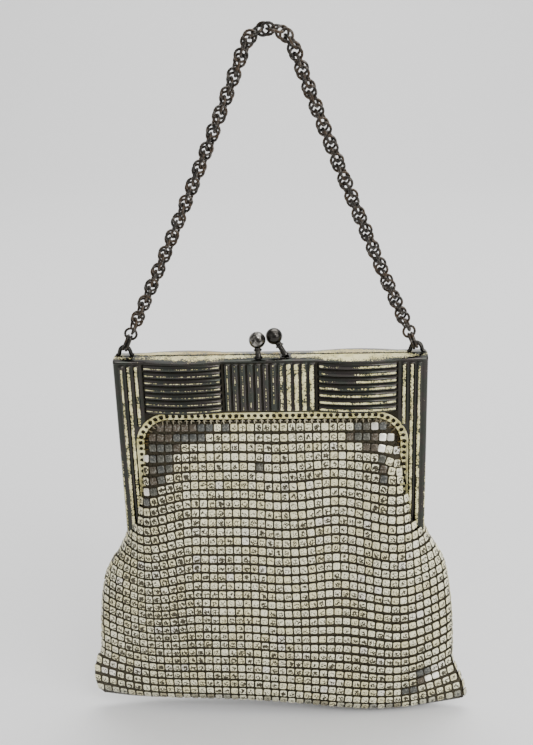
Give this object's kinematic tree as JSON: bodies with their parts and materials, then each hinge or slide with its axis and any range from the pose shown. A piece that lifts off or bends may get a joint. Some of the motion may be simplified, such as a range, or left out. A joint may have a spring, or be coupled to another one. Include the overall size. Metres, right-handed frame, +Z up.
{
  "type": "mesh evening purse",
  "caption": "Small evening purse: a drooping bag of enamelled metal mesh on a ribbed hinged frame with a ball kiss lock, carried by a ring chain.",
  "frame": {"origin": "underside of the chain at its highest point, where a finger holds the purse up", "axes": "+Z up, +X to the right of the purse seen from its front, front towards -Y"},
  "size_m": [0.1588, 0.0248, 0.2795],
  "materials": {
    "frame_enamel": "ivory enamel worn to dark metal on ribs and edges",
    "mesh_enamel": "ivory enamel on domed tiles, speckled with wear",
    "dark_steel": "tarnished gunmetal, polished on the balls",
    "chain_steel": "tarnished brown-grey wire"
  },
  "bodies": {
    "root": {"frame_front": "frame_enamel", "frame_back": "frame_enamel", "hinge_pin_left": "dark_steel", "hinge_pin_right": "dark_steel", "clasp_knob_front": "dark_steel", "clasp_knob_back": "dark_steel", "chain_ear_left": "dark_steel", "chain_ear_right": "dark_steel", "end_link_left": "chain_steel", "end_link_right": "chain_steel", "chain": "chain_steel", "mesh_bag": "mesh_enamel"}
  },
  "joints": []
}
